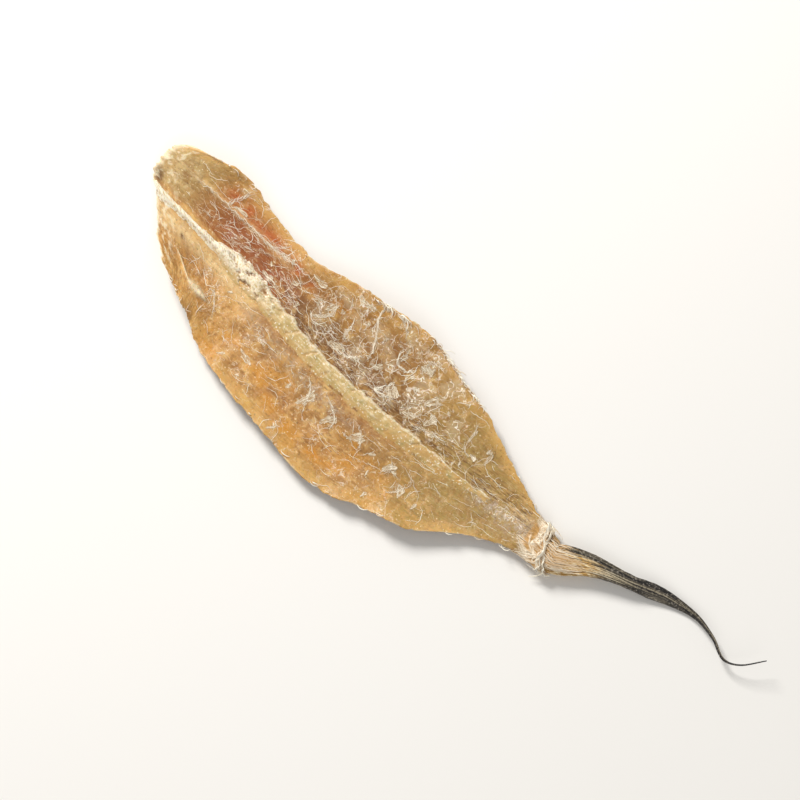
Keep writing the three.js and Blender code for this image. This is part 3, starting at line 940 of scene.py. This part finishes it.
# ---------------------------------------------------------------- the tail
def round_stalk(s, angle, off):
    """A point off millimetres from the round tail stalk, at an angle from its +Y side over its top."""
    side = np.where(np.cos(angle) < 0, -1.0, 1.0)
    half = reach(np.minimum(s, BODY_LENGTH - 0.1), side)
    middle = STALK_RISE * stalkness(s) * fin_lift(fin_share(s)) + STALK_THICKNESS / 2
    z = middle + np.sin(angle) * (STALK_THICKNESS / 2 + off)
    return place(s, np.cos(angle) * (half + off), z)


def fin_height(share):
    """Height of the fin's middle, as it floats over the surface below."""
    return STALK_RISE * fin_lift(np.clip(share, 0, 1)) + 0.5


def root_swell(share, t):
    """How much higher the fin is where it grows out of the round tail stalk."""
    return 2.6 * smooth(share, 0.13, 0) * np.sqrt(1 - np.clip(t, -1, 1) ** 2)


def cuff(membrane):
    """The torn skin at the end of the tail stalk: crumpled sleeves that flare and roll back. Each goes a
    little more than once round the stalk."""
    count, rows, columns = 3, 64, 180
    u = np.linspace(0, 1, rows)[None, :, None]
    which = np.arange(count)[:, None, None]
    angle = np.linspace(0, 2 * np.pi * 1.06, columns)[None, None, :] + which * 2.1
    seed_line = which * 5.3
    start = 168 + 2 * which + 4 * noise(angle * 1.3, seed_line, 97)
    end = 178.5 - 3 * np.cos(angle) - 0.9 * which + 2.6 * noise(angle * 1.6, seed_line, 98)
    folds = rough(u * 1.8, angle * 1.4 + seed_line, 99, 3) * smooth(u, 0, 0.3)
    creases = wrinkles(u * 2.2, angle * 1.5 + seed_line, 100) * smooth(u, 0, 0.3)
    rolled = smooth(u, 0.8, 1)
    s = mix(start, end, u) - 1.8 * rolled
    off = 0.05 + 0.2 * which * u + 0.4 * u**2 + 0.75 * folds + 0.35 * creases + 0.35 * rolled
    thick = 0.12
    tops = round_stalk(s, angle, off)
    unders = round_stalk(s, angle, off - thick)
    tops[..., 2] = np.maximum(tops[..., 2], 0.25)
    unders[..., 2] = np.maximum(unders[..., 2], 0.15)
    amber = smooth(noise(u * 2.2, angle * 1.3 + seed_line, 101), -0.15, 0.2) * (1 - creases) * (1 - rolled)
    rims = np.clip(smooth(u, 0, 0.25) * 0.6 + 0.25 * creases + 0.4 * rolled, 0, 1)
    lie = np.stack(np.broadcast_arrays(s, angle * STALK_HALF_WIDTH, seed_line), -1)
    numbers = {"rim": rims, "tone": 0.3 + 0.65 * amber - 0.3 * rolled, "lie": lie}
    add_films("cuff", tops, unders, numbers, membrane)


def cuff_threads(membrane):
    """Loose threads round the cuff, and the fibres that run from it on to the fin."""
    rng = np.random.default_rng(96)
    count, steps = 36, 14
    u = np.linspace(0, 1, steps)
    start = rng.uniform(165, 178, (count, 1))
    angle = rng.uniform(0, 2 * np.pi, (count, 1)) + rng.normal(0, 0.5, (count, 1)) * u
    s = start + rng.uniform(2, 7, (count, 1)) * u
    s = np.minimum(s, 183 - rng.uniform(0, 1.5, (count, 1)))
    off = 0.2 + 0.12 * (start - 165) + 0.8 * rng.random((count, 1)) ** 2 * u
    loose = round_stalk(s, angle, off)
    loose[..., 2] = np.maximum(loose[..., 2], 0.2)
    widths = tapering(rng.uniform(0.08, 0.2, count), steps)
    add_threads("cuff_threads", loose, widths, membrane, rng.uniform(0, 0.8, (count, 1)) ** 2)
    # Cream and gold fibres that leave the cuff and run on over the root of the fin.
    count = 80
    t = rng.uniform(-0.8, 1, (count, 1)) + 0.12 * rng.normal(0, 1, (count, steps)).cumsum(1) / 4
    t = np.clip(t, -0.97, 0.97)
    last = rng.uniform(182, 190, (count, 1)) - 4 * smooth(t, 0.2, 0.7)
    s = mix(rng.uniform(171, 179, (count, 1)), last, u)
    over_stalk = STALK_RISE + STALK_THICKNESS / 2 * (1 + np.sqrt(1 - t * t)) + 0.3
    share = fin_share(s)
    z = mix(over_stalk, fin_height(share) + root_swell(share, t) + 1, smooth(s, 178, 184))
    widths = tapering(rng.uniform(0.2, 0.5, count), steps)
    fibres = place(s, t * 5 * fin_reach(share) / fin_reach(0), z)
    add_threads("root_fibres", fibres, widths, membrane, rng.uniform(0.25, 1, (count, 1)))


def cuff_tag(membrane):
    """The tag of skin that hangs from the cuff: three strands side by side that taper into one hook."""
    hook = np.linspace(0, 1, 50)
    beside = np.array([[0.0], [0.3], [-0.3]]) * (1 - hook)
    tag_s = 180.5 + np.sin(hook * 2.2) - 3.5 * hook**1.5 + beside
    tag_w = -5.2 - 4.6 * hook + 0.2 * noise(hook * 6, beside, 105)
    x, y = X_OF_HEAD + tag_s, Y_OF_LINE + line_y(tag_s) + tag_w
    tag = np.stack(np.broadcast_arrays(x, y, 3.2 - 1.6 * hook), -1)
    widths = np.array([[0.8], [0.6], [0.5]]) * (1 - 0.75 * hook)
    add_threads("cuff_tag", tag, widths, membrane, 0.05)


def tail_fin(fin):
    """The fin folded to a ribbon, ribbed by its rays, which ends in one long curled thread."""
    rows, columns = 301, 49
    u = np.linspace(-0.06, 1, rows)[:, None]
    t = np.linspace(-1, 1, columns)[None, :]
    s = BODY_LENGTH + u * FIN_LENGTH
    half = FIN_HALF_WIDTH * fin_reach(np.clip(u, 0, 1))
    ragged = 1 + 0.1 * noise(u * 24, np.sign(t) * 3.3, 94) * np.abs(t) ** 6
    ribs = np.abs(np.cos(np.pi * (t * 4.6 + 0.5 * noise(u * 5, 0.3, 91)))) ** 0.7
    thick = mix(1.2, 0.45, smooth(u, 0, 0.7)) * mix(0.35, 1, np.sqrt(1 - t * t * 0.95))
    fold = 0.3 * t * smooth(u, 0.1, 0.5) * smooth(u, 0.9, 0.6)
    mid = fin_height(u) + fold * half
    top = mid + thick / 2 + 0.3 * ribs * smooth(u, 0.75, 0.45) * smooth(u, 0, 0.2) + root_swell(u, t)
    web = bump(t, -0.3, 0.34) * smooth(u, 0.38, 0.22)
    silver = smooth(noise(u * 3, t * 5.2, 92), 0.08, 0.3) * smooth(u, 0.6, 0.3) * 0.5
    zones = {
        "streak": silver + web,
        "root": smooth(u + 0.1 * smooth(t, 0.1, 0.8) + 0.16 * noise(t * 3, u * 4, 93), 0.2, 0.06),
    }
    w = t * half * ragged
    closed_sheet("tail_fin", place, s, w, top, mid - thick / 2, [fin, fin], zones)


def fin_rays(fin):
    """Separate rays: a dark upper bundle, a thin lower one, and a few pale ones on the web between."""
    rng = np.random.default_rng(95)
    spread = np.concatenate([rng.uniform(0.0, 1.0, 26), rng.uniform(-1.0, -0.78, 8), rng.uniform(-0.7, 0, 8)])
    count, steps = len(spread), 44
    u = np.linspace(0, 1, steps)[None, :]
    start = rng.uniform(-0.05, 0.05, (count, 1))
    end = np.where(spread < 0, rng.uniform(0.24, 0.4, count), rng.uniform(0.4, 0.9, count))[:, None]
    share = start + (end - start) * u
    s = BODY_LENGTH + share * FIN_LENGTH
    t = spread[:, None] + 0.07 * np.sin(u * 5 + rng.uniform(0, 6, (count, 1)))
    w = np.clip(t, -1.06, 1.06) * FIN_HALF_WIDTH * fin_reach(np.clip(share, 0, 1))
    z = fin_height(share) + root_swell(share, t) + 0.55 + 0.35 * rng.random((count, 1))
    widths = rng.uniform(0.35, 0.8, (count, 1)) * (1 - 0.8 * u**2)
    between = ((spread < 0) & (spread > -0.75))[:, None]
    numbers = {
        "streak": np.where(between, 0.9, rng.random((count, 1)) ** 3 * 0.7),
        "root": smooth(share + 0.12 * smooth(t, 0.1, 0.7) + 0.05 * rng.normal(0, 1, (count, 1)), 0.22, 0.08),
    }
    add_strands("fin_rays", place(s, w, z), widths, fin, numbers, 0.6, 5)


# ---------------------------------------------------------------- the studio
def studio():
    scene = bpy.context.scene
    scene.view_settings.view_transform = "Standard"
    floor_mesh = bpy.data.meshes.new("floor")
    far = 3.0
    corners = [(-far, -far, 0), (far, -far, 0), (far, far, 0), (-far, far, 0)]
    floor_mesh.from_pydata(corners, [], [(0, 1, 2, 3)])
    floor = bpy.data.objects.new("floor", floor_mesh)
    scene.collection.objects.link(floor)
    floor.location.z = -0.2 * MM  # a hair under the fish, so that the two never share a plane
    paper, _, shader = start_material("white backdrop paper", 0.85)
    shader.inputs["Base Color"].default_value = paint("#EFEBE4")
    floor_mesh.materials.append(paper)

    world = bpy.data.worlds.new("studio")
    world.use_nodes = True
    sky = world.node_tree.nodes["Background"]
    sky.inputs["Color"].default_value = paint("#F7F8FA")
    sky.inputs["Strength"].default_value = 0.38
    scene.world = world
    # Each lamp: its place and how wide it is, in metres, and its power in watts.
    lamps = (("key", (-0.85, 0.3, 0.7), 0.4, 15.0), ("fill", (0.7, -0.6, 0.8), 0.9, 3.0))
    for name, spot, size, power in lamps:
        lamp = bpy.data.lights.new(name, "AREA")
        lamp.shape = "DISK"
        lamp.size = size
        lamp.energy = power
        light = bpy.data.objects.new(name, lamp)
        light.location = spot
        light.rotation_euler = (-Vector(spot)).to_track_quat("-Z", "Y").to_euler()
        scene.collection.objects.link(light)


def camera():
    """Looks down from 81 degrees, with the fish running from the upper left to the lower right."""
    scene = bpy.context.scene
    turn, tilt = np.radians(41.9), np.radians(81.0)
    distance, view_width = 0.9, 0.264  # in metres, at the fish
    sensor_width = 36  # in millimetres
    back = Vector((np.sin(turn) * np.cos(tilt), -np.cos(turn) * np.cos(tilt), np.sin(tilt)))
    right = Vector((np.cos(turn), np.sin(turn), 0))
    up = back.cross(right)
    # The fish lies a little right of the view's middle and below it.
    aim = right * (-5.9 * MM) + up * (17.0 * MM) + Vector((0, 0, 4 * MM))
    lens = bpy.data.cameras.new("camera")
    lens.lens = sensor_width * distance / view_width
    lens.sensor_width = sensor_width
    eye = bpy.data.objects.new("camera", lens)
    eye.location = aim + back * distance
    eye.rotation_euler = (-back).to_track_quat("-Z", "Y").to_euler()
    scene.collection.objects.link(eye)
    scene.camera = eye


camera()
membrane, fin = dried_membrane(), dried_fin()
flesh_sheet(dried_flesh(), dried_skin())
backbone(dried_bone())
for make in (ridge_hairs, curled_threads, torn_lines, membrane_films, edge_fringe, stalk_fibres,
             cuff, cuff_threads, cuff_tag):
    make(membrane)
for make in (tail_fin, fin_rays):
    make(fin)
studio()
